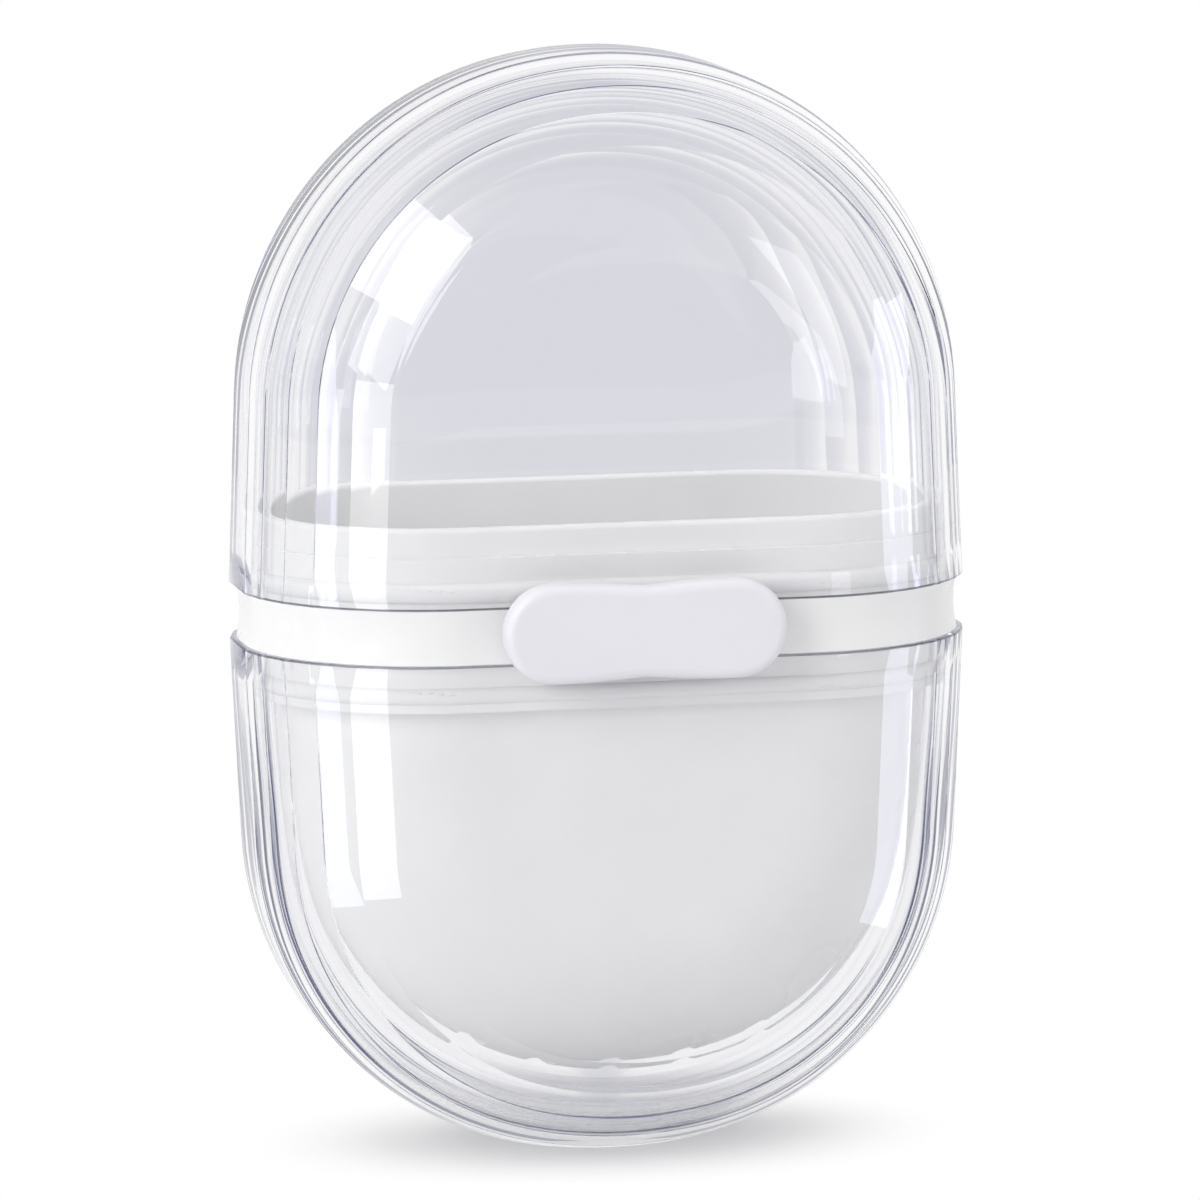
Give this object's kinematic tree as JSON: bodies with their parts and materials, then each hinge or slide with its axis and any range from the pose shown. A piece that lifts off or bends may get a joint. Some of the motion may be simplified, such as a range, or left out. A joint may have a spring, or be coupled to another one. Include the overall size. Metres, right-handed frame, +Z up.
{
  "type": "travel soap box",
  "caption": "Capsule-shaped travel soap box that stands on end: clear faceted base and hinged clear lid, white lift-out soap tray with a collar band, and a press clasp at the front.",
  "frame": {"origin": "middle of the flat foot under the base shell", "axes": "+Z up along the capsule, +Y towards the hinge at the back, so the clasp faces -Y"},
  "size_m": [0.08, 0.054, 0.1203],
  "materials": {
    "clear_shell": "clear, polished",
    "tray": "white, glossy",
    "clasp": "pale lilac white, satin",
    "pin": "drawn wire",
    "seal": "white silicone"
  },
  "bodies": {
    "base": {"base_shell": "clear_shell"},
    "tray": {"soap_tray": "tray", "hinge_pin": "pin", "clasp_pin": "pin", "lid_seal": "seal", "base_seal": "seal"},
    "lid": {"lid_shell": "clear_shell"},
    "clasp": {"front_clasp": "clasp"}
  },
  "joints": [
    {"name": "tray_lift", "type": "slide", "parent": "base", "child": "tray", "axis": [0, 0, 1], "range_m": [0, 0.055]},
    {"name": "lid_swing", "type": "hinge", "parent": "tray", "child": "lid", "pos_m": [0, 0.0246, 0.05935], "axis": [-1, 0, 0], "range_deg": [0, 110]},
    {"name": "clasp_press", "type": "hinge", "parent": "tray", "child": "clasp", "pos_m": [0, -0.0229, 0.05935], "axis": [1, 0, 0], "range_deg": [0, 8], "stiffness_Nm_per_rad": 0.05}
  ]
}
